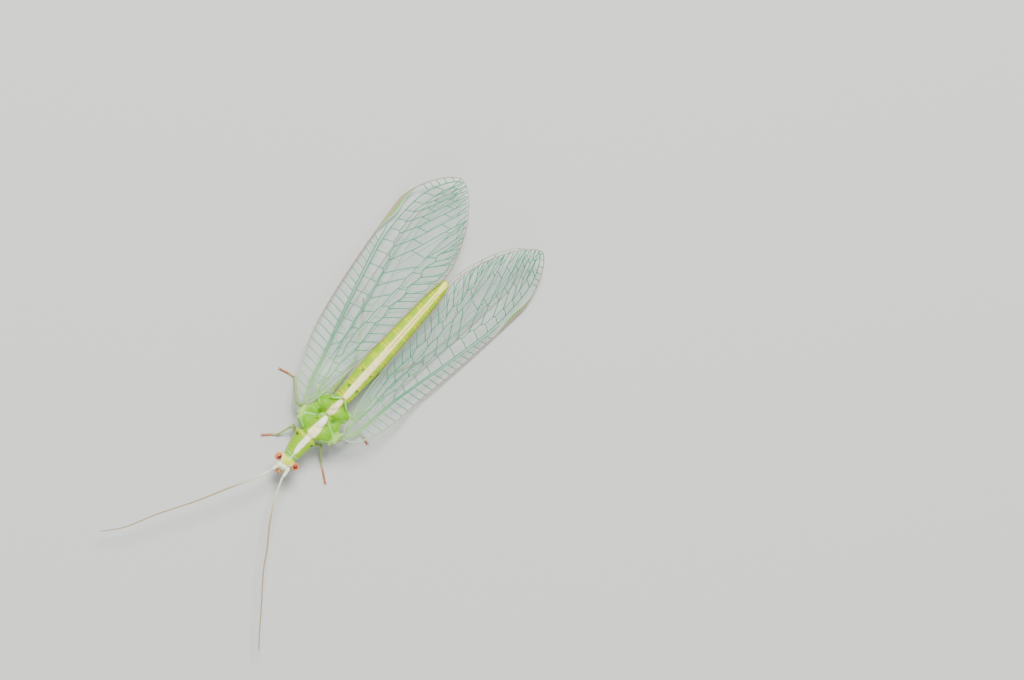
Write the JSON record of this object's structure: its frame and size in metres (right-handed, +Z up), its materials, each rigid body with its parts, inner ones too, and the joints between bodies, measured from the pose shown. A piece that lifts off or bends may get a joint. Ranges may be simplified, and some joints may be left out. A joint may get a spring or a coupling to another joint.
{
  "type": "green lacewing",
  "caption": "Still, life-size model of a green lacewing at rest: slender green body, copper eyes, long antennae and clear veined wings held low along the body.",
  "frame": {"origin": "on the floor, at the middle of the whole model's box in plan; the insect's midline lies 0.47 mm to its right of it because the antennae spread unevenly", "axes": "+X to the insect's left, -Y towards its head, +Z up"},
  "size_m": [0.0094, 0.0232, 0.0026],
  "materials": {
    "green_cuticle": "yellow-green insect cuticle with a satin sheen and a pale stripe along the back",
    "leg_cuticle": "pale green, slightly translucent cuticle of thin legs",
    "tarsus_cuticle": "reddish-brown cuticle of the feet with short bristles",
    "antenna_cuticle": "cream to tan cuticle ringed into many short joints",
    "brown_cuticle": "orange-brown cuticle of the mouthparts",
    "compound_eye": "copper compound eye with a metallic sheen and a dark spot",
    "wing_membrane": "clear iridescent membrane with pale blue-green veins"
  },
  "bodies": {
    "root": {"head": "green_cuticle", "mouthparts": "brown_cuticle", "eye_left": "compound_eye", "eye_right": "compound_eye", "antenna_left_scape": "antenna_cuticle", "antenna_left_lower": "antenna_cuticle", "antenna_left_middle": "antenna_cuticle", "antenna_left_tip": "antenna_cuticle", "antenna_right_scape": "antenna_cuticle", "antenna_right_lower": "antenna_cuticle", "antenna_right_middle": "antenna_cuticle", "antenna_right_tip": "antenna_cuticle", "prothorax": "green_cuticle", "mesothorax": "green_cuticle", "metathorax": "green_cuticle", "abdomen": "green_cuticle", "forewing_left": "wing_membrane", "forewing_right": "wing_membrane", "hindwing_left": "wing_membrane", "hindwing_right": "wing_membrane", "leg_front_left_femur": "leg_cuticle", "leg_front_left_tibia": "leg_cuticle", "leg_front_left_tarsus": "tarsus_cuticle", "leg_front_right_femur": "leg_cuticle", "leg_front_right_tibia": "leg_cuticle", "leg_front_right_tarsus": "tarsus_cuticle", "leg_middle_left_femur": "leg_cuticle", "leg_middle_left_tibia": "leg_cuticle", "leg_middle_left_tarsus": "tarsus_cuticle", "leg_middle_right_femur": "leg_cuticle", "leg_middle_right_tibia": "leg_cuticle", "leg_middle_right_tarsus": "tarsus_cuticle", "leg_hind_left_femur": "leg_cuticle", "leg_hind_left_tibia": "leg_cuticle", "leg_hind_left_tarsus": "tarsus_cuticle", "leg_hind_right_femur": "leg_cuticle", "leg_hind_right_tibia": "leg_cuticle", "leg_hind_right_tarsus": "tarsus_cuticle"}
  },
  "joints": []
}
